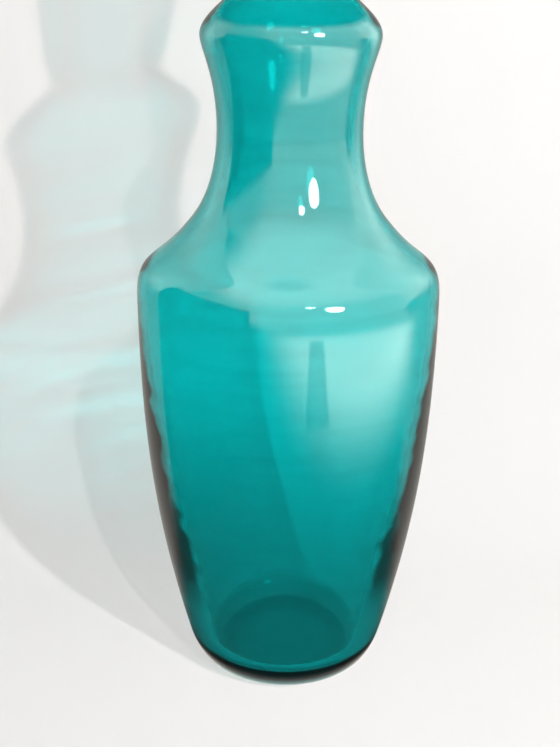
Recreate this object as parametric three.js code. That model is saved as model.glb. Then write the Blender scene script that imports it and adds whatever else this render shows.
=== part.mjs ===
import * as THREE from 'three';

// A hand-blown glass bottle with a hollow ball stopper.
// Millimetres, +Z up, standing on the XY plane with its axis on Z.

// Outside of the bottle, from the table up. Each rise is counted from the station below it.
// A lean is in degrees from upright, positive outwards.
const puntRadius = 21;
const puntRise = 2;
const contactWidth = 5;
const heelRadius = 46;
const heelRise = 18;
const heelLean = 15;
const shoulderRadius = 65;
const shoulderRise = 158;
const slopeRadius = 41;
const slopeRise = 34;
const slopeLean = -38;
const waistRadius = 30.3;
const waistRise = 37;
const bulgeRadius = 36.8;
const bulgeRise = 37;
const throatRadius = 20.1;
const throatRise = 21.5;
const cupFlare = 3.4;
const cupRise = 13.5;
const cupLean = 4;
const rimFlare = 1.8;
const rimRise = 26;

// Thickness of the glass. It settles low down while it is soft, and is drawn thinnest at the wide shoulder.
const floorWall = 7;
const heelWall = 10;
const shoulderWall = 3.6;
const slopeWall = 4.2;
const neckWall = 5.4;
const throatWall = 3.5;
const rimWall = 3;

// Stopper: a flattened ball that sits on the lip, and a tapered peg that reaches through the throat.
const ballOverhang = 2.6;
const ballUnder = 6.5;
const ballCrown = 16.5;
const seatLean = 45;
const seatClearance = 0.3;
const pegClearance = 0.35;
const pegTaper = 2;
const pegBelowThroat = 8;
const pegCollar = 9;
const stopperWall = 3;

// How far a curve's two ends are pulled along their leans, as shares of the straight distance.
const puntPulls = [0.4, 0.4];
const heelPulls = [0.47, 0.51];
const sidePulls = [0.4, 0.32];
const shoulderPulls = [0.48, 0.69];
const slopePulls = [0.36, 0.27];
const waistPulls = [0.58, 0.17];
const bulgePulls = [0.31, 0.18];
const throatPulls = [0.32, 0.4];
const cupPulls = [0.35, 0.35];
const floorPulls = [0.75, 0.27];
const collarPulls = [0.4, 0.3];
const underPulls = [0.36, 0.38];
const crownPulls = [0.36, 0.41];

// Fineness: the facets of a full turn, and how far a facet may lie off its curve.
const turnFacets = 40;
const facetDepth = 0.08;

const teal = 0x0a8f90;

// What follows from the sizes above
const contactRadius = puntRadius + contactWidth;
const cupRadius = throatRadius + cupFlare;
const rimRadius = cupRadius + rimFlare;
const ballRadius = rimRadius + ballOverhang;
const floorHeight = puntRise + floorWall;
const shoulderHeight = heelRise + shoulderRise;
const slopeHeight = shoulderHeight + slopeRise;
const waistHeight = slopeHeight + waistRise;
const bulgeHeight = waistHeight + bulgeRise;
const throatHeight = bulgeHeight + throatRise;
const cupHeight = throatHeight + cupRise;
const rimHeight = cupHeight + rimRise;
const lipRadius = rimWall / 2;
const lipCentre = new THREE.Vector2(rimRadius - lipRadius, rimHeight - lipRadius);

// A point of an outline: its radius, its height and the lean of the outline there.
function station(radius, height, lean) {
  return { at: new THREE.Vector2(radius, height), lean };
}

// The direction of a lean: upwards at 0, outwards at 90, inwards at -90.
function heading(lean) {
  const angle = THREE.MathUtils.degToRad(lean);
  return new THREE.Vector2(Math.sin(angle), Math.cos(angle));
}

// The station that faces this one on the inner side of a wall.
function inset({ at, lean }, wall) {
  const along = heading(lean);
  return station(at.x - along.y * wall, at.y + along.x * wall, lean);
}

// Points along a curve, closer together where it is long and bends a lot.
function pointsAlong(curve) {
  const samples = 24;
  let bend = 0;
  for (let i = 0; i < samples; i += 1) {
    const here = curve.getTangent(i / samples);
    const next = curve.getTangent((i + 1) / samples);
    bend += Math.abs(Math.atan2(here.cross(next), here.dot(next)));
  }
  const steps = Math.ceil(Math.sqrt((curve.getLength() * bend) / (8 * facetDepth)));
  return curve.getPoints(Math.max(1, steps));
}

// A curve from one station to the next, along the lean of each.
function sweep(from, to, [leavePull, arrivePull]) {
  const reach = from.at.distanceTo(to.at);
  const leave = from.at.clone().addScaledVector(heading(from.lean), reach * leavePull);
  const arrive = to.at.clone().addScaledVector(heading(to.lean), -reach * arrivePull);
  return pointsAlong(new THREE.CubicBezierCurve(from.at, leave, arrive, to.at));
}

// The rounded edge of a wall, turning half a circle from this angle.
function roundedEdge(centre, radius, startAngle) {
  const { x, y } = centre;
  return pointsAlong(new THREE.EllipseCurve(x, y, radius, radius, startAngle, startAngle + Math.PI));
}

// A piece turned about the axis from the stretches of its outline, with the air on their right.
function turned(name, stretches) {
  const outline = [];
  for (const point of stretches.flat()) {
    const last = outline.at(-1);
    if (!last || last.distanceTo(point) > facetDepth) outline.push(point);
  }
  const geometry = new THREE.LatheGeometry(outline, turnFacets);
  geometry.rotateX(Math.PI / 2);
  const glass = new THREE.MeshStandardMaterial({ color: teal, roughness: 0.05, metalness: 0 });
  glass.transparent = true;
  glass.opacity = 0.6;
  const mesh = new THREE.Mesh(geometry, glass);
  mesh.name = name;
  return mesh;
}

// One side of the bottle's wall, from the heel up to the lip.
function wallSide([heel, shoulder, slope, waist, bulge, throat, cup, rim]) {
  return [
    sweep(heel, shoulder, sidePulls),
    sweep(shoulder, slope, shoulderPulls),
    sweep(slope, waist, slopePulls),
    sweep(waist, bulge, waistPulls),
    sweep(bulge, throat, bulgePulls),
    sweep(throat, cup, throatPulls),
    sweep(cup, rim, cupPulls),
  ];
}

function makeBottle() {
  const heel = station(heelRadius, heelRise, heelLean);
  const shoulder = station(shoulderRadius, shoulderHeight, 0);
  const slope = station(slopeRadius, slopeHeight, slopeLean);
  const waist = station(waistRadius, waistHeight, 0);
  const bulge = station(bulgeRadius, bulgeHeight, 0);
  const throat = station(throatRadius, throatHeight, 0);
  const cup = station(cupRadius, cupHeight, cupLean);
  const rim = station(rimRadius, lipCentre.y, 0);

  // The punt is a shallow hollow under the base, inside the flat ring that touches the table.
  const punt = sweep(station(0, puntRise, 90), station(puntRadius, 0, 90), puntPulls);
  const heelRound = sweep(station(contactRadius, 0, 90), heel, heelPulls);
  const outside = wallSide([heel, shoulder, slope, waist, bulge, throat, cup, rim]);

  const innerHeel = inset(heel, heelWall);
  const floor = sweep(station(0, floorHeight, 90), innerHeel, floorPulls);
  const inside = wallSide([
    innerHeel,
    inset(shoulder, shoulderWall),
    inset(slope, slopeWall),
    inset(waist, neckWall),
    inset(bulge, neckWall),
    inset(throat, throatWall),
    inset(cup, rimWall),
    inset(rim, rimWall),
  ]);
  const goingDown = [floor, ...inside].flat().reverse();
  return turned('bottle', [punt, heelRound, ...outside, roundedEdge(lipCentre, lipRadius, 0), goingDown]);
}

// The stopper's own origin is level with the top of the bottle's lip.
function makeStopper() {
  const seatReach = heading(seatLean).multiplyScalar(lipRadius + seatClearance);
  const seat = station(lipCentre.x - seatReach.y, seatReach.x - lipRadius, seatLean);
  const equator = station(ballRadius, seat.at.y + ballUnder, 0);
  const crown = station(0, equator.at.y + ballCrown, -90);

  // The peg passes the throat with its clearance, and narrows downwards so that it lifts out freely.
  const throatDepth = throatHeight - rimHeight;
  const pegAtThroat = throatRadius - throatWall - pegClearance;
  const widening = Math.tan(THREE.MathUtils.degToRad(pegTaper));
  const pegStation = (height) => station(pegAtThroat + (height - throatDepth) * widening, height, pegTaper);
  const pegTop = pegStation(seat.at.y - pegCollar);
  const pegEnd = pegStation(throatDepth - pegBelowThroat);

  const side = (peg, collar, under, widest, top) => [
    [peg.at, collar.at],
    sweep(collar, under, collarPulls),
    sweep(under, widest, underPulls),
    sweep(widest, top, crownPulls),
  ];
  const stations = [pegEnd, pegTop, seat, equator, crown];
  const inner = stations.map((one) => inset(one, stopperWall));
  const pegEdge = pegEnd.at.clone().lerp(inner[0].at, 0.5);
  const goingDown = side(...inner).flat().reverse();
  const stopper = turned('stopper', [
    goingDown,
    roundedEdge(pegEdge, stopperWall / 2, Math.PI),
    ...side(...stations),
  ]);
  stopper.position.z = rimHeight;
  return stopper;
}

const glassBottle = new THREE.Group();
glassBottle.add(makeBottle(), makeStopper());

export default glassBottle;
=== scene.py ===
# %% [markdown]
# # A teal blown-glass bottle
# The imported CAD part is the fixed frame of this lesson: everything below is in metres, in the same frame,
# and stands where the CAD says. The CAD nodes have coarse facets, which clear glass would show at once,
# so each of the two pieces of glass is turned again here with a fine skin and then stands for its node.

# %% Load the frame
import math

import bpy
from mathutils import Matrix, Vector


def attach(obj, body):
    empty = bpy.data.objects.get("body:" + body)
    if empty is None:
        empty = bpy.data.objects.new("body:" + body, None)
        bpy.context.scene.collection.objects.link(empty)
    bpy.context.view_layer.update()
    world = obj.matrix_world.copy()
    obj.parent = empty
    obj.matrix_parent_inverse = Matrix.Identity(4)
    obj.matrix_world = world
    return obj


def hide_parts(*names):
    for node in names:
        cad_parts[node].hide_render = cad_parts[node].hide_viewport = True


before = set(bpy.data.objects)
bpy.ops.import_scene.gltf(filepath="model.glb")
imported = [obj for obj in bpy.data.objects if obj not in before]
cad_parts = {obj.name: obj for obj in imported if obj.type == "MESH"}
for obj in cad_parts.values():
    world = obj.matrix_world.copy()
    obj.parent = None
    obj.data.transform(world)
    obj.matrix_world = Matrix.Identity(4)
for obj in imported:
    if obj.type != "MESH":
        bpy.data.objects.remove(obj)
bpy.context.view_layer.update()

MM = 0.001

# %% [markdown]
# ## The camera
# The photograph looks a little down on the bottle from near by, so the shoulder is seen from above and the
# base as an ellipse. A camera could be placed by eye, but the bottle is a turned shape: its outline in the
# picture fixes the distance, the tilt and the focal length together, so those fitted numbers are used.

# %% Place the camera
photo_height = 747
focal_pixels = 1122
sensor_height = 24
camera_place = Vector((0, -470.67, 305.66)) * MM
camera_tilt = math.radians(19.47)
camera_yaw = math.radians(0.393)
camera_roll = math.radians(0.505)

bpy.ops.object.select_all(action="DESELECT")
bpy.ops.object.camera_add()
camera = bpy.context.object
camera.data.sensor_fit = "VERTICAL"
camera.data.sensor_height = sensor_height
camera.data.lens = sensor_height * focal_pixels / photo_height
turn = Matrix.Rotation(camera_yaw, 4, "Z")
tilt = Matrix.Rotation(math.pi / 2 - camera_tilt, 4, "X")
roll = Matrix.Rotation(camera_roll, 4, "Z")
camera.matrix_world = Matrix.Translation(camera_place) @ turn @ tilt @ roll
bpy.context.scene.camera = camera
print("lens in mm:", round(camera.data.lens, 2))

# %% [markdown]
# ## Tracing an outline
# A blown bottle is round about its axis, so one half of its cross-section says everything. That outline
# could be a long list of points, but a glassblower thinks of a few stations, such as the heel, the shoulder
# and the waist, with smooth glass between them. A Bezier curve says the same: each station is a control
# point, its lean gives the direction of the handles, and two pulls say how far each handle reaches.


# %% Stations and stretches
def heading(lean):
    """Direction of a lean in degrees: upwards at 0, outwards at 90."""
    return Vector((math.sin(math.radians(lean)), math.cos(math.radians(lean))))


def station(radius, height, lean):
    """A point of the outline, and the lean of the outline there."""
    return Vector((radius, height)), lean


def inset(outer, wall):
    """The station that faces this one on the inner side of the wall."""
    place, lean = outer
    along = heading(lean)
    return place + Vector((-along.y, along.x)) * wall, lean


def stretch(start, end, pulls):
    """The four Bezier points of the curve between two stations."""
    reach = (end[0] - start[0]).length
    leave = start[0] + heading(start[1]) * reach * pulls[0]
    arrive = end[0] - heading(end[1]) * reach * pulls[1]
    return start[0], leave, arrive, end[0]


def stretches_along(stations, pulls):
    """The stretches from each station to the next one."""
    return [stretch(start, end, pull) for start, end, pull in zip(stations, stations[1:], pulls)]


print("a lean of 45 heads for", [round(value, 3) for value in heading(45)])

# %% [markdown]
# ## From curves to a line
# The curves become a mesh line that can be spun. Blender's curve object does the sampling: every stretch is
# one spline, with more points where it is longer, and converting the curve to a mesh leaves an open line.

# %% Trace helper
outline_step = 1.7
fewest_steps = 6


def trace(name, stretches):
    """An open mesh line in the XZ plane along these stretches."""
    bpy.ops.object.select_all(action="DESELECT")
    bpy.ops.curve.primitive_bezier_curve_add()
    line = bpy.context.object
    line.name = name
    line.data.splines.clear()
    for start, leave, arrive, end in stretches:
        spline = line.data.splines.new("BEZIER")
        spline.bezier_points.add(1)
        length = (leave - start).length + (arrive - leave).length + (end - arrive).length
        spline.resolution_u = max(fewest_steps, math.ceil(length / outline_step))
        for point, place, handle in zip(spline.bezier_points, (start, end), (leave, arrive)):
            point.handle_left_type = point.handle_right_type = "FREE"
            point.co = Vector((place.x, 0, place.y)) * MM
            point.handle_left = point.handle_right = Vector((handle.x, 0, handle.y)) * MM
    bpy.ops.object.convert(target="MESH")
    print(name, "has", len(line.data.vertices), "points")
    return line


print("a point about every", outline_step, "mm")

# %% [markdown]
# ## Turning the glass
# With the outline in hand, the Spin operator does the work of the glassblower's bench. Turning in many small
# steps keeps the silhouette round. Where the outline meets the axis, and where the turn closes, points fall
# on each other, so the doubles are merged before the faces are made to point outwards.

# %% Spin helper
turn_steps = 128
merge_distance = 0.02 * MM


def turn_outline(line):
    """Spins the active outline about the axis and closes it."""
    bpy.ops.object.mode_set(mode="EDIT")
    bpy.ops.mesh.select_all(action="SELECT")
    bpy.ops.mesh.remove_doubles(threshold=merge_distance)
    bpy.ops.mesh.spin(steps=turn_steps, angle=2 * math.pi, center=(0, 0, 0), axis=(0, 0, 1))
    bpy.ops.mesh.select_all(action="SELECT")
    bpy.ops.mesh.remove_doubles(threshold=merge_distance)
    bpy.ops.mesh.normals_make_consistent(inside=False)
    bpy.ops.object.mode_set(mode="OBJECT")
    bpy.ops.object.shade_smooth()
    print(line.name, "has", len(line.data.polygons), "faces")


print("one step turns", 360 / turn_steps, "degrees")

# %% [markdown]
# ## The bottle's outline
# The bottle is one gather of glass: a shallow punt under the base, a thick heel, a long body that widens to
# the shoulder, a waisted neck with a bulge, and a cup for a mouth. The inner side is set in from the outer
# one by the thickness of the glass, which settled while it was soft, so it is thick low down and thin above.

# %% Sides of the bottle
# Each station has its radius, height, lean and the thickness of the wall there.
heel = (46, 18, 15, 10)
shoulder = (65, 176, 0, 3.6)
slope = (41, 210, -38, 4.2)
waist = (30.3, 247, 0, 5.4)
bulge = (36.8, 284, 0, 5.4)
throat = (20.1, 305.5, 0, 3.5)
cup = (23.5, 319, 4, 3)
rim = (25.3, 343.5, 0, 3)
wall_pulls = [
    (0.4, 0.32),
    (0.48, 0.69),
    (0.36, 0.27),
    (0.58, 0.17),
    (0.31, 0.18),
    (0.32, 0.4),
    (0.35, 0.35),
]

outer_stations = []
inner_stations = []
for radius, height, lean, wall in (heel, shoulder, slope, waist, bulge, throat, cup, rim):
    outer_stations.append(station(radius, height, lean))
    inner_stations.append(inset(outer_stations[-1], wall))
print("inner heel in mm:", [round(value, 1) for value in inner_stations[0][0]])

# %% Base of the bottle
punt_rise = 0.6
punt_radius = 21
contact_radius = 26
floor_height = 9
punt_pulls = (0.4, 0.4)
straight_pulls = (0.33, 0.33)
heel_pulls = (0.47, 0.51)
floor_pulls = (0.62, 0.4)

punt_edge = station(punt_radius, 0, 90)
contact_edge = station(contact_radius, 0, 90)
punt = stretch(station(0, punt_rise, 90), punt_edge, punt_pulls)
contact_ring = stretch(punt_edge, contact_edge, straight_pulls)
heel_round = stretch(contact_edge, outer_stations[0], heel_pulls)
floor = stretch(station(0, floor_height, 90), inner_stations[0], floor_pulls)
print("floor is", round(floor_height - punt_rise, 1), "mm thick at the axis")

# %% The lip closes the wall
quarter_arc = 0.5523


def half_circle(start, end):
    """Two quarter arcs over the edge of a wall, from its one side to the other."""
    centre = (start + end) / 2
    across = (end - start) / 2
    up = Vector((across.y, -across.x))
    top = centre + up
    return [
        (start, start + up * quarter_arc, top - across * quarter_arc, top),
        (top, top + across * quarter_arc, end + up * quarter_arc, end),
    ]


rim_outer = outer_stations[-1][0]
rim_inner = inner_stations[-1][0]
lip = half_circle(rim_outer, rim_inner)
lip_centre = (rim_outer + rim_inner) / 2
print("lip top in mm:", round(lip[0][3].y, 2))

# %% [markdown]
# ## Joining the two sides
# The outer and the inner side are traced apart, because the inner one needs a vertex group: its ripples come
# later. A group that is set on the line is carried along by the spin, which saves selecting thousands of
# points afterwards.

# %% Turn the bottle
ripple_start = 25 * MM


def select_only(*pieces):
    """Selects these pieces and makes the first one active."""
    bpy.ops.object.select_all(action="DESELECT")
    for piece in pieces:
        piece.select_set(True)
    bpy.context.view_layer.objects.active = pieces[0]


outer_side = stretches_along(outer_stations, wall_pulls)
inner_side = stretches_along(inner_stations, wall_pulls)
bottle = trace("bottle_glass", [punt, contact_ring, heel_round, *outer_side, *lip])
bottle_inner = trace("bottle_inner", [floor, *inner_side])
rippled = [point.index for point in bottle_inner.data.vertices if point.co.z > ripple_start]
bottle_inner.vertex_groups.new(name="inner_wall").add(rippled, 1.0, "REPLACE")

select_only(bottle, bottle_inner)
bpy.ops.object.join()
turn_outline(bottle)

# %% [markdown]
# ## Ripples inside the wall
# The outer skin of a blown bottle is polished by the flame, but the inner one keeps faint ripples that run
# round the bottle and make its reflections waver. Moving points by hand would take long. A Displace modifier
# with a Clouds texture does it: an empty that is flat in height squeezes the clouds into level bands.

# %% Ripple the inner wall
ripple_width = 60 * MM
ripple_height = 14 * MM
ripple_depth = 0.16 * MM

clouds = bpy.data.textures.new("ripple_clouds", "CLOUDS")
clouds.noise_scale = 1.0
clouds.noise_depth = 1
bpy.ops.object.empty_add()
ripple_frame = bpy.context.object
ripple_frame.scale = (ripple_width, ripple_width, ripple_height)

select_only(bottle)
ripples = bottle.modifiers.new("ripples", "DISPLACE")
ripples.texture = clouds
ripples.texture_coords = "OBJECT"
ripples.texture_coords_object = ripple_frame
ripples.vertex_group = "inner_wall"
ripples.direction = "NORMAL"
ripples.mid_level = 0.5
ripples.strength = ripple_depth
bpy.ops.object.modifier_apply(modifier="ripples")
bpy.data.objects.remove(ripple_frame)
print("ripples up to", ripple_depth / MM, "mm")

# %% [markdown]
# ## The stopper
# The stopper is a flattened ball, blown hollow, with a tapered peg that is open below. It is traced as the
# bottle was: the outer side from the peg's end up to the crown, the inner side the same way, and a round
# edge between. The ball sits on the lip, and the peg passes the throat with a small clearance.

# %% Turn the stopper
seat_lean = 45
seat_reach = 1.8
ball_radius = 27.9
ball_under = 6.5
ball_crown = 16.5
peg_taper = 2
peg_clearance = 0.35
peg_collar = 9
peg_below_throat = 8
stopper_wall = 3
stopper_pulls = [straight_pulls, (0.4, 0.3), (0.36, 0.38), (0.36, 0.41)]
throat_radius, throat_height, _, throat_wall = throat


def peg_station(height):
    """A station on the tapered side of the peg."""
    widening = (height - throat_height) * math.tan(math.radians(peg_taper))
    return station(throat_radius - throat_wall - peg_clearance + widening, height, peg_taper)


seat = inset((lip_centre, seat_lean), seat_reach)
equator = station(ball_radius, seat[0].y + ball_under, 0)
crown = station(0, equator[0].y + ball_crown, -90)
peg_top = peg_station(seat[0].y - peg_collar)
peg_end = peg_station(throat_height - peg_below_throat)
stopper_outer = [peg_end, peg_top, seat, equator, crown]
stopper_inner = [inset(outer, stopper_wall) for outer in stopper_outer]
peg_edge = half_circle(stopper_inner[0][0], stopper_outer[0][0])
ball_and_peg = stretches_along(stopper_outer, stopper_pulls)
hollow = stretches_along(stopper_inner, stopper_pulls)
stopper = trace("stopper_glass", [*ball_and_peg, *hollow, *peg_edge])
turn_outline(stopper)

# %% [markdown]
# ## The glass
# Teal glass swallows red light within a few millimetres and a little of the rest, so its colour deepens with
# its thickness. A tinted surface can't do that. A clear surface with a volume that absorbs can: thin walls
# come out pale and the thick base dark, from every side.

# %% Clear surface, absorbing volume
clear_white = (1, 1, 1, 1)
glass_bending = 1.5
passed_tint = (0, 0.938, 0.938, 1)
absorbing_density = 700

glass = bpy.data.materials.new("teal_glass")
glass.use_nodes = True
tree = glass.node_tree
surface = tree.nodes["Principled BSDF"]
surface.inputs["Base Color"].default_value = clear_white
surface.inputs["Roughness"].default_value = 0
surface.inputs["IOR"].default_value = glass_bending
surface.inputs["Transmission Weight"].default_value = 1
absorb = tree.nodes.new("ShaderNodeVolumeAbsorption")
absorb.inputs["Color"].default_value = passed_tint
absorb.inputs["Density"].default_value = absorbing_density
output = tree.nodes["Material Output"]
tree.links.new(absorb.outputs["Volume"], output.inputs["Volume"])
print("glass absorbs at density", absorbing_density)

# %% [markdown]
# ## Wiring nodes
# A finish is worked out by many small nodes. Adding and linking each one by hand takes several lines, so a
# few helpers do it: for numbers, for vectors, for a soft step, for a product of all that is given, for what
# is left of 1, and for a noise that is squeezed along an axis, which draws several marks in the glass.


# %% Node helpers
def plug(tree, socket, value):
    """Sets a socket to a fixed value, or links it to the output of another node."""
    if isinstance(value, (int, float, tuple)):
        socket.default_value = value
    else:
        tree.links.new(value, socket)


def math_step(tree, operation, *values):
    """One math node on numbers or on the outputs of other nodes."""
    node = tree.nodes.new("ShaderNodeMath")
    node.operation = operation
    for socket, value in zip(node.inputs, values):
        plug(tree, socket, value)
    return node.outputs[0]


def vector_step(tree, operation, *vectors):
    """One vector math node on fixed vectors or on the outputs of other nodes."""
    node = tree.nodes.new("ShaderNodeVectorMath")
    node.operation = operation
    for socket, vector in zip(node.inputs, vectors):
        plug(tree, socket, vector)
    gives_number = operation in ("DOT_PRODUCT", "LENGTH")
    return node.outputs["Value" if gives_number else "Vector"]


def soft_step(tree, value, start, end):
    """0 at start and before it, 1 at end and past it, smooth between them."""
    node = tree.nodes.new("ShaderNodeMapRange")
    node.interpolation_type = "SMOOTHSTEP"
    node.inputs["From Min"].default_value = start
    node.inputs["From Max"].default_value = end
    tree.links.new(value, node.inputs["Value"])
    return node.outputs["Result"]


def product(tree, *values):
    """All the values times each other."""
    result = values[0]
    for value in values[1:]:
        result = math_step(tree, "MULTIPLY", result, value)
    return result


def less(tree, amount, share):
    """What is left of 1 when this share of the amount is taken away."""
    return math_step(tree, "MULTIPLY_ADD", amount, -share, 1.0)


def squeezed_noise(tree, place, scale, detail, distortion=0.0):
    """A noise whose grain is finer along an axis where the scale is larger."""
    squeeze = tree.nodes.new("ShaderNodeMapping")
    squeeze.inputs["Scale"].default_value = scale
    tree.links.new(place, squeeze.inputs["Vector"])
    noise = tree.nodes.new("ShaderNodeTexNoise")
    noise.inputs["Scale"].default_value = 1
    noise.inputs["Detail"].default_value = detail
    noise.inputs["Distortion"].default_value = distortion
    tree.links.new(squeeze.outputs["Vector"], noise.inputs["Vector"])
    return noise.outputs["Fac"]


glass_place = tree.nodes.new("ShaderNodeTexCoord").outputs["Object"]
axes = tree.nodes.new("ShaderNodeSeparateXYZ")
tree.links.new(glass_place, axes.inputs["Vector"])
glass_height = axes.outputs["Z"]
print("glass nodes so far:", len(tree.nodes))

# %% [markdown]
# ## Greyer glass above
# The surface colour is clear low down and greyer above, with soft clouds in it, and thin smears
# run round it. Both take a little of the light away. A noise that is squeezed in height draws
# the smears.

# %% Greying and smears
greying_start = 120 * MM
greying_end = 215 * MM
greying_strength = 0.14
greying_scale = (40, 40, 40)
greying_detail = 5
cloud_least = 0.6
cloud_range = 0.8
smear_scale = (20, 20, 220)
smear_detail = 4
smear_range = 0.2
smear_threshold = 0.1

greying_clouds = squeezed_noise(tree, glass_place, greying_scale, greying_detail)
cloudy = math_step(tree, "MULTIPLY_ADD", greying_clouds, cloud_range, cloud_least)
greying = product(tree, soft_step(tree, glass_height, greying_start, greying_end), cloudy)
smears = squeezed_noise(tree, glass_place, smear_scale, smear_detail)
smear = math_step(tree, "MULTIPLY_ADD", smears, smear_range, -smear_threshold)
smear = math_step(tree, "MAXIMUM", smear, 0.0)
greyed = math_step(tree, "SUBTRACT", less(tree, greying, greying_strength), smear)
print("film strength", greying_strength)

# %% [markdown]
# ## The outer side of the wall
# Some marks belong to the outer side of the wall alone. The two sides could be two materials, but both would
# then have to stay alike. A test is simpler: on the outer side, the normal points away from the axis.

# %% Find the outer side
flat_place = vector_step(tree, "MULTIPLY", glass_place, (1, 1, 0))
normal = tree.nodes.new("ShaderNodeNewGeometry").outputs["Normal"]
outwards = vector_step(tree, "DOT_PRODUCT", flat_place, normal)
on_outside = math_step(tree, "GREATER_THAN", outwards, 0.0)
print("glass nodes so far:", len(tree.nodes))

# %% [markdown]
# ## Painted dark edges
# Where the wall is thick, low down, the sides of the bottle show broken dark bands: there the light is
# caught inside the wall and comes from the dark parts of the room. The surface colour paints these
# bands as shade. A Layer Weight finds the sides from any view, a noise that is squeezed in height
# breaks the bands, and the height limits them to the thick part. A second Layer Weight, on a normal
# that runs round the bottle, leaves the bands out of steep views.

# %% Painted dark bands at the sides
edge_strength = 0.95
edge_blend = 0.5
edge_break = 0.22
edge_scale = (30, 30, 150)
edge_detail = 2
edge_widening = 0.105
edge_start = 0.585
edge_full = 0.66
steep_end = 0.42
level_start = 0.32
band_top = 150 * MM
band_full = 80 * MM
wide_top = 115 * MM
wide_full = 70 * MM
band_bottom = 34 * MM
band_off_heel = 58 * MM

edge_facing = tree.nodes.new("ShaderNodeLayerWeight")
edge_facing.inputs["Blend"].default_value = edge_blend
edge_noise = squeezed_noise(tree, glass_place, edge_scale, edge_detail)
broken = math_step(tree, "MULTIPLY_ADD", edge_noise, edge_break, -edge_break / 2)
widest = soft_step(tree, glass_height, wide_top, wide_full)
wider = math_step(tree, "MULTIPLY_ADD", widest, edge_widening, broken)
side_on = math_step(tree, "ADD", edge_facing.outputs["Facing"], wider)

round_about = vector_step(tree, "CROSS_PRODUCT", flat_place, (0, 0, 1))
along_wall = tree.nodes.new("ShaderNodeLayerWeight")
along_wall.inputs["Blend"].default_value = edge_blend
tree.links.new(vector_step(tree, "NORMALIZE", round_about), along_wall.inputs["Normal"])
# Painted shade: the dark bands at the sides are taken off the surface colour.
painted_edge_band = product(
    tree,
    soft_step(tree, side_on, edge_start, edge_full),
    soft_step(tree, along_wall.outputs["Facing"], steep_end, level_start),
    soft_step(tree, glass_height, band_top, band_full),
    soft_step(tree, glass_height, band_bottom, band_off_heel),
    on_outside,
)
print("bands take up to", edge_strength)

# %% [markdown]
# ## Painted shade low down
# The lower body is darkened in the surface colour, as painted shade for the deeper shadow seen through
# it near the base, and the floor shows as a dark disc through the body, painted as the shade under the
# base. Both are a matter of height and of the distance from the axis, so two more factors join the
# greying and the painted bands in the surface colour.

# %% Painted shade of the lower body and the floor
low_shade_strength = 0.18
low_shade_top = 110 * MM
low_shade_full = 20 * MM
floor_shade_strength = 0.42
floor_rim = 36 * MM
floor_full = 33 * MM
floor_over = 19 * MM
floor_under = 16 * MM

# Painted shade: darker towards the base, and darker again over the floor disc.
painted_low_shade = soft_step(tree, glass_height, low_shade_top, low_shade_full)
from_axis = vector_step(tree, "LENGTH", flat_place)
painted_floor_shade = product(
    tree,
    soft_step(tree, from_axis, floor_rim, floor_full),
    soft_step(tree, glass_height, floor_over, floor_under),
)
# The surface colour: greying and smears, and the painted shade of the bands, the lower body and the floor.
clear = product(
    tree,
    greyed,
    less(tree, painted_edge_band, edge_strength),
    less(tree, painted_low_shade, low_shade_strength),
    less(tree, painted_floor_shade, floor_shade_strength),
)
tree.links.new(clear, surface.inputs["Base Color"])
print("floor takes up to", floor_shade_strength)

# %% [markdown]
# ## A glow at the heel
# Light that is caught in the thick base comes out at its lowest edge, as a thin teal line along the paper.
# Tracing it would need far more samples, so the heel gives off a little light of that colour itself.

# %% Heel glow
heel_glow = 0.1
heel_tint = (0, 1, 1, 1)
glow_top = 9 * MM
glow_full = 5.5 * MM

at_heel = soft_step(tree, glass_height, glow_top, glow_full)
surface.inputs["Emission Color"].default_value = heel_tint
tree.links.new(product(tree, at_heel, on_outside, heel_glow), surface.inputs["Emission Strength"])
print("heel glows up to", round(glow_top / MM, 1), "mm")

# %% [markdown]
# ## Light through the glass
# Lamp light that goes through the bottle makes a teal shadow with level streaks in it, where the ripples of
# the wall gather the light. Tracing every such path takes very long. Instead, shadow rays go straight
# through: the volume still tints them by the real thickness, the surface takes away what it would reflect at
# that angle, the thick lower wall takes more, and a noise that is squeezed in height stands for the streaks.

# %% Streaks in the shadow
streak_scale = (6, 6, 140)
streak_detail = 2
streak_distortion = 0.8
streak_sharpness = 10.0
streak_dark = 0.87
streak_bright = 1.38
streak_top = 310 * MM
streak_full = 240 * MM

streaks = squeezed_noise(tree, glass_place, streak_scale, streak_detail, streak_distortion)
from_middle = math_step(tree, "ABSOLUTE", math_step(tree, "MULTIPLY_ADD", streaks, 2.0, -1.0))
bright_line = math_step(tree, "POWER", math_step(tree, "SUBTRACT", 1.0, from_middle), streak_sharpness)
bent = math_step(tree, "MULTIPLY_ADD", bright_line, streak_bright - streak_dark, streak_dark - 1)
in_body = soft_step(tree, glass_height, streak_top, streak_full)
streak = math_step(tree, "MULTIPLY_ADD", bent, in_body, 1.0)
print("streaks from", streak_dark, "to", streak_bright)

# %% Straight through for shadow rays
edge_power = 5
straight_share = 0.96
low_share = 0.5
low_start = 40 * MM
low_end = 130 * MM
floor_clear = 14 * MM
wall_full = 26 * MM


def mix_shaders(tree, factor, first, second):
    """The first shader where the factor is 0, the second where it is 1."""
    node = tree.nodes.new("ShaderNodeMixShader")
    for socket, source in zip(node.inputs, (factor, first, second)):
        tree.links.new(source, socket)
    return node.outputs["Shader"]


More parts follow.
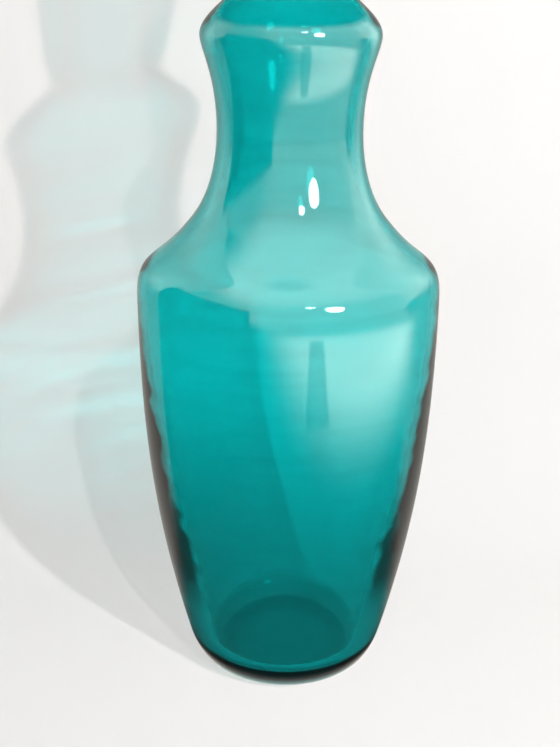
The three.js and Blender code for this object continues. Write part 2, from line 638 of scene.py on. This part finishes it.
facing = tree.nodes.new("ShaderNodeLayerWeight")
facing.inputs["Blend"].default_value = edge_blend
grazing = math_step(tree, "POWER", facing.outputs["Facing"], edge_power)
passing = math_step(tree, "MULTIPLY_ADD", grazing, -straight_share, straight_share)
lost = tree.nodes.new("ShaderNodeMapRange")
lost.inputs["From Min"].default_value = low_start
lost.inputs["From Max"].default_value = low_end
lost.inputs["To Min"].default_value = low_share - 1
lost.inputs["To Max"].default_value = 0
tree.links.new(glass_height, lost.inputs["Value"])
above_floor = soft_step(tree, glass_height, floor_clear, wall_full)
low_light = math_step(tree, "MULTIPLY_ADD", lost.outputs["Result"], above_floor, 1.0)
straight = tree.nodes.new("ShaderNodeBsdfTransparent")
tree.links.new(product(tree, passing, streak, low_light), straight.inputs["Color"])
shadow_ray = tree.nodes.new("ShaderNodeLightPath").outputs["Is Shadow Ray"]
seen_glass = mix_shaders(tree, shadow_ray, surface.outputs["BSDF"], straight.outputs["BSDF"])
tree.links.new(seen_glass, output.inputs["Surface"])
print("glass nodes:", len(tree.nodes))

# %% [markdown]
# ## Dressing the pieces
# Each piece takes the glass, rides on its body and stands for its CAD node. The soft light of the room would
# leave a dark ring on the paper round the base, which real glass hardly does. So the pieces are hidden from
# the rays that gather soft light on the paper, and only the lamps throw shadows.

# %% Dress both pieces
for piece, body in ((bottle, "bottle"), (stopper, "stopper")):
    piece.data.materials.clear()
    piece.data.materials.append(glass)
    piece.visible_diffuse = False
    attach(piece, body)
    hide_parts(body)
print("glass on", bottle.name, "and", stopper.name)

# %% [markdown]
# ## The paper sweep
# The bottle stands on a sheet of white paper that curves up behind it, so there is no horizon. The sheet
# starts as a plane, and its far edge is extruded step by step along the curve. The shadows on it show how it
# bends: a wide curve that starts close behind the bottle and ends leaning a little forwards.

# %% Start the sheet
sweep_radius = 122.9
wall_distance = 175.2
wall_lean = math.tan(math.radians(7))
sheet_half_width = 2500
front_reach = 3500
paper_gap = 0.3


def sweep_point(angle):
    """A point on the middle line of the sweep, from the floor at 0 to upright at a quarter turn."""
    rise = sweep_radius * (1 - math.cos(angle))
    depth = wall_distance - sweep_radius * (1 - math.sin(angle)) - rise * wall_lean
    return Vector((0, depth, rise - paper_gap)) * MM


bpy.ops.object.select_all(action="DESELECT")
bpy.ops.mesh.primitive_plane_add(size=2)
sheet = bpy.context.object
sheet.name = "paper_sweep"
floor_back = sweep_point(0).y
for corner in sheet.data.vertices:
    corner.co.x *= sheet_half_width * MM
    corner.co.y = floor_back if corner.co.y > 0 else -front_reach * MM
    corner.co.z = -paper_gap * MM
print("curve starts at", round(floor_back / MM, 1), "mm")

# %% Extrude the sweep
sweep_turn = math.radians(4.1)
wall_top = 900
arc_steps = 32

bpy.ops.object.mode_set(mode="EDIT")
bpy.ops.mesh.select_mode(type="EDGE")
bpy.ops.mesh.select_all(action="DESELECT")
bpy.ops.object.mode_set(mode="OBJECT")
for edge in sheet.data.edges:
    edge.select = all(sheet.data.vertices[v].co.y > 0 for v in edge.vertices)
bpy.ops.object.mode_set(mode="EDIT")
places = [sweep_point(math.pi / 2 * step / arc_steps) for step in range(arc_steps + 1)]
places.append(Vector((0, wall_distance - wall_top * wall_lean, wall_top)) * MM)
for before, after in zip(places, places[1:]):
    bpy.ops.mesh.extrude_region_move(TRANSFORM_OT_translate={"value": after - before})
bpy.ops.mesh.select_all(action="SELECT")
bpy.ops.transform.rotate(value=-sweep_turn, orient_axis="Z", center_override=(0, 0, 0))
bpy.ops.object.mode_set(mode="OBJECT")
bpy.ops.object.shade_smooth()
print("sweep has", len(sheet.data.polygons), "faces")

# %% [markdown]
# ## White paper
# The paper is a plain matt white. In its reflection on the glass it should not be plain: the lamps
# make a bright pool of light in front of the bottle, to the right, with a dark strip in it. So rays
# that come from a reflection see a painted reflection of the pool and the strip, and all other rays
# see paper. The pool and the strip are bounded by soft edges: each edge is a direction, and the
# distances along it where the edge starts and ends.

# %% Matt paper
paper_white = (0.884, 0.874, 0.864, 1)
paper_roughness = 0.9
paper_gloss = 0.1

paper = bpy.data.materials.new("paper_white")
paper.use_nodes = True
paper_tree = paper.node_tree
paper_surface = paper_tree.nodes["Principled BSDF"]
paper_surface.inputs["Base Color"].default_value = paper_white
paper_surface.inputs["Roughness"].default_value = paper_roughness
paper_surface.inputs["Specular IOR Level"].default_value = paper_gloss
sheet.data.materials.append(paper)
print("paper white", paper_white[:3])

# %% Painted pool of light and dark strip
pool_level = 6.3
far_level = 2.1
far_start = 560
far_end = 760
pool_edges = [
    ((0.738, -0.675, 0), 190, 450),
    ((0.84, -0.545, 0), 0, 480),
    ((0, -1, 0), -250, 50),
]
dark_strip_strength = 0.6
dark_strip_edges = [
    ((0.95, 0.31, 0), -45, -20),
    ((-0.95, -0.31, 0), -85, -60),
    ((0.31, -0.95, 0), 325, 350),
    ((-0.31, 0.95, 0), -630, -590),
]


def ramp(tree, place, direction, start, end):
    """A soft step from 0 to 1 along a direction, between two distances in millimetres."""
    return soft_step(tree, vector_step(tree, "DOT_PRODUCT", place, direction), start * MM, end * MM)


def within(tree, place, edges):
    """1 on the inner side of all these edges, 0 outside them."""
    return product(tree, *[ramp(tree, place, *edge) for edge in edges])


paper_place = paper_tree.nodes.new("ShaderNodeTexCoord").outputs["Object"]
distance = vector_step(paper_tree, "LENGTH", paper_place)
far_away = soft_step(paper_tree, distance, far_start * MM, far_end * MM)
bright = math_step(paper_tree, "MULTIPLY_ADD", far_away, far_level - pool_level, pool_level)
# Painted shade: a dark strip inside the painted reflection of the pool.
bare = less(paper_tree, within(paper_tree, paper_place, dark_strip_edges), dark_strip_strength)
pool = product(paper_tree, within(paper_tree, paper_place, pool_edges), bare, bright)
print("pool level", pool_level, "and", far_level, "far away")

# %% [markdown]
# ## The rest of the paper in reflections
# Away from the pool the paper reflects little. It is bright where it rises at both sides, more so at the
# right, and somewhat brighter behind the bottle and under the base, where light that went through the glass
# falls. The sum of these and of the pool lights an emission that only mirrored rays see.

# %% Sides, back and base
panel_level = 2.8
left_share = 0.5
right_edge = ((1, 0, 0), 120, 260)
left_edge = ((-1, 0, 0), 120, 260)
rising_edge = ((0, 0, 1), 160, 300)
behind_level = 0.38
behind_edge = ((0, 1, 0), 0, 60)
base_level = 0.9
base_rim = 48
base_full = 40
floor_dark = 0.05

left_panel = product(paper_tree, ramp(paper_tree, paper_place, *left_edge), left_share)
sides = math_step(paper_tree, "ADD", ramp(paper_tree, paper_place, *right_edge), left_panel)
panel = product(paper_tree, sides, ramp(paper_tree, paper_place, *rising_edge), panel_level)
at_base = soft_step(paper_tree, distance, base_rim * MM, base_full * MM)
base_glow = math_step(paper_tree, "MULTIPLY_ADD", at_base, base_level, floor_dark)
behind = ramp(paper_tree, paper_place, *behind_edge)
plain_glow = math_step(paper_tree, "MULTIPLY_ADD", behind, behind_level, base_glow)
glow = math_step(paper_tree, "ADD", math_step(paper_tree, "ADD", pool, panel), plain_glow)
print("panel level", panel_level)

# %% Paper for each kind of ray
warm_white = (1, 0.965, 0.88, 1)


def in_reflection(tree):
    """1 for rays that were just mirrored by the glass, 0 or less for all others."""
    path = tree.nodes.new("ShaderNodeLightPath")
    return math_step(tree, "SUBTRACT", path.outputs["Is Glossy Ray"], path.outputs["Is Transmission Ray"])


reflected = paper_tree.nodes.new("ShaderNodeEmission")
reflected.inputs["Color"].default_value = warm_white
paper_tree.links.new(glow, reflected.inputs["Strength"])
matt_or_pool = mix_shaders(
    paper_tree,
    in_reflection(paper_tree),
    paper_surface.outputs["BSDF"],
    reflected.outputs["Emission"],
)

# The back of the sheet is open to the camera, so that it never hides the bottle in a view from behind.
back_face = paper_tree.nodes.new("ShaderNodeNewGeometry").outputs["Backfacing"]
camera_ray = paper_tree.nodes.new("ShaderNodeLightPath").outputs["Is Camera Ray"]
open_air = paper_tree.nodes.new("ShaderNodeBsdfTransparent").outputs["BSDF"]
one_sided = mix_shaders(paper_tree, product(paper_tree, back_face, camera_ray), matt_or_pool, open_air)
paper_tree.links.new(one_sided, paper_tree.nodes["Material Output"].inputs["Surface"])
print("paper nodes:", len(paper_tree.nodes))

# %% [markdown]
# ## The light
# Two small lamps stand to the right of the camera. Each throws its own shadow of the bottle on the paper,
# and each leaves its own bright spot on the bulge, the neck and the shoulder. The spots are wide, because
# each lamp has a reflector round it. The bulb gives the shadow, a disc that only reflections see gives the
# spot, and a fainter disc in front of it, which is only seen through the glass, gives the tinted glints.

# %% Lamps
lamp_target = Vector((0, 0, 150)) * MM
glint_share = 0.35
glint_gap = 10 * MM


def lamp(name, place, bulb_size, bulb_power, disc_size, disc_power):
    """A bulb that lights the scene, and two discs that show in the glass."""
    bpy.ops.object.light_add(type="POINT", location=Vector(place) * MM)
    bulb = bpy.context.object
    bulb.name = name + "_bulb"
    bulb.data.shadow_soft_size = bulb_size / 2 * MM
    bulb.data.energy = bulb_power
    bulb.visible_glossy = False
    aim = lamp_target - bulb.location
    for part, share, gap in (("reflector", 1, 0), ("glint", glint_share, glint_gap)):
        bpy.ops.object.light_add(type="AREA", location=bulb.location + aim.normalized() * gap)
        disc = bpy.context.object
        disc.name = name + "_" + part
        disc.data.shape = "ELLIPSE"
        disc.data.size = disc_size[0] * MM
        disc.data.size_y = disc_size[1] * MM
        disc.data.energy = disc_power * share
        disc.rotation_euler = aim.to_track_quat("-Z", "Y").to_euler()
        disc.visible_diffuse = False
        disc.visible_glossy = part == "reflector"
        disc.visible_transmission = part == "glint"
    print(name, "bulb", bulb_power, "W, discs", disc_size, "mm")


lamp(
    "near_lamp",
    place=(497.8, -703.8, 559.3),
    bulb_size=25,
    bulb_power=13.8,
    disc_size=(225, 300),
    disc_power=5,
)
lamp(
    "far_lamp",
    place=(330.4, -1011.6, 934.9),
    bulb_size=18,
    bulb_power=8.2,
    disc_size=(160, 170),
    disc_power=2,
)

# %% [markdown]
# ## The room
# Soft light from the whole room fills the shadows, more of it from above. The room could be sampled as one
# more lamp, but then it would throw a shadow of the glass after all. With that switched off, its light
# reaches the paper only by the soft rays that don't see the glass.

# %% Soft room light
room_low = 0.36
room_high = 0.725
up = (0, 0, 1)

world = bpy.data.worlds.new("room")
world.use_nodes = True
room = world.node_tree
look = room.nodes.new("ShaderNodeTexCoord").outputs["Generated"]
# A look direction has length 1, so a ramp along it runs in thousandths.
upwards = ramp(room, look, up, 0, 1000)
room_light = math_step(room, "MULTIPLY_ADD", upwards, room_high - room_low, room_low)
bpy.context.scene.world = world
world.cycles.sampling_method = "NONE"
print("room light", room_low, "to", room_high)

# %% [markdown]
# ## The room in reflections
# In reflections the room is brighter overhead and to the right, and darker to the left, with only a band of
# light there. This gives the shoulder its pale veil and leaves the left of the body deep. Seen directly or
# through the glass, the room is an even pale white like the paper.

# %% Mirrored room
mirror_dark = 0.05
mirror_left = 1.25
mirror_low = 2.6
mirror_high = 4.6
overhead_edge = (up, 400, 950)
bright_side = ((1, 0, 0), -750, -350)
left_band = [
    ((0.35, 0, 0.94), -300, 50),
    ((0, -0.6, -0.8), -600, -480),
]

overhead = ramp(room, look, *overhead_edge)
height_light = math_step(room, "MULTIPLY_ADD", overhead, mirror_high - mirror_low, mirror_low)
to_right = ramp(room, look, *bright_side)
right_light = product(room, height_light, to_right)
to_left = math_step(room, "SUBTRACT", 1.0, to_right)
left_light = product(room, to_left, within(room, look, left_band), mirror_left)
mirrored = math_step(room, "ADD", right_light, math_step(room, "ADD", left_light, mirror_dark))
print("mirrored room up to", mirror_high)

# %% Room for each kind of ray
room_seen = 0.9


def choose(tree, factor, first, second):
    """The first number where the factor is 0, the second where it is 1."""
    node = tree.nodes.new("ShaderNodeMix")
    for name, value in (("Factor", factor), ("A", first), ("B", second)):
        plug(tree, node.inputs[name], value)
    return node.outputs["Result"]


background = room.nodes["Background"]
soft_or_mirrored = choose(room, in_reflection(room), room_light, mirrored)
path = room.nodes.new("ShaderNodeLightPath")
in_view = math_step(room, "MAXIMUM", path.outputs["Is Camera Ray"], path.outputs["Is Transmission Ray"])
room.links.new(choose(room, in_view, soft_or_mirrored, room_seen), background.inputs["Strength"])

tint = room.nodes.new("ShaderNodeMix")
tint.data_type = "RGBA"
plain_tint, mirrored_tint = [socket for socket in tint.inputs if socket.type == "RGBA"]
plain_tint.default_value = clear_white
mirrored_tint.default_value = warm_white
room.links.new(in_reflection(room), tint.inputs["Factor"])
tinted = next(socket for socket in tint.outputs if socket.type == "RGBA")
room.links.new(tinted, background.inputs["Color"])
bpy.context.scene.view_settings.view_transform = "Standard"
print("room nodes:", len(room.nodes))

# %% [markdown]
# ## A black collar
# The bulge lies under the mouth and stays deep, while the shoulder below it mirrors the bright ceiling. A
# black card with a hole, held just above the bulge and out of the picture, does that in a studio. Here it is
# a flat ring that only reflections see: every other ray passes through it.

# %% Card helper
card_black = (0.02, 0.02, 0.02, 1)


def mirror_only(card, measure, clear_at, dense_at):
    """Black for mirrored rays where the measure is past dense_at, and open air for all other rays."""
    black = bpy.data.materials.new(card.name)
    black.use_nodes = True
    tree = black.node_tree
    matt = tree.nodes["Principled BSDF"]
    matt.inputs["Base Color"].default_value = card_black
    matt.inputs["Roughness"].default_value = 1
    place = tree.nodes.new("ShaderNodeTexCoord").outputs["Object"]
    measured = vector_step(tree, "LENGTH", vector_step(tree, "MULTIPLY", place, measure))
    dense = soft_step(tree, measured, clear_at * MM, dense_at * MM)
    open_air = tree.nodes.new("ShaderNodeBsdfTransparent").outputs["BSDF"]
    shown = mix_shaders(tree, product(tree, in_reflection(tree), dense), open_air, matt.outputs["BSDF"])
    tree.links.new(shown, tree.nodes["Material Output"].inputs["Surface"])
    card.data.materials.append(black)
    card.visible_camera = False
    card.visible_shadow = False
    card.visible_diffuse = False
    print(card.name, "fades from", dense_at, "to", clear_at, "mm")


# %% Black collar over the bulge
collar_height = 312
collar_inner = 24
collar_outer = 66
collar_fade = 46
collar_points = 64
around_axis = (1, 1, 0)

bpy.ops.object.select_all(action="DESELECT")
bpy.ops.mesh.primitive_circle_add(
    vertices=collar_points,
    radius=collar_outer * MM,
    fill_type="NGON",
    location=(0, 0, collar_height * MM),
)
collar = bpy.context.object
collar.name = "black_collar"
bpy.ops.object.mode_set(mode="EDIT")
bpy.ops.mesh.inset(thickness=(collar_outer - collar_inner) * MM)
bpy.ops.mesh.delete(type="FACE")
bpy.ops.object.mode_set(mode="OBJECT")
bpy.ops.object.transform_apply(location=True)
mirror_only(collar, around_axis, collar_outer, collar_fade)

# %% [markdown]
# ## A black flag
# The left of the body stays deep up to an edge just under the shoulder. A second black card stands upright
# to the left of the bottle and fades out towards its top. Again only reflections see it.

# %% Black flag to the left
flag_place = -150
flag_top = 288
flag_fade = 258
flag_depth = 320

bpy.ops.object.select_all(action="DESELECT")
bpy.ops.mesh.primitive_plane_add(
    size=1,
    location=(flag_place * MM, -flag_depth / 2 * MM, flag_top / 2 * MM),
    rotation=(0, math.pi / 2, 0),
)
flag_card = bpy.context.object
flag_card.name = "black_flag"
flag_card.scale = (flag_top * MM, flag_depth * MM, 1)
bpy.ops.object.transform_apply(location=True, rotation=True, scale=True)
mirror_only(flag_card, up, flag_top, flag_fade)
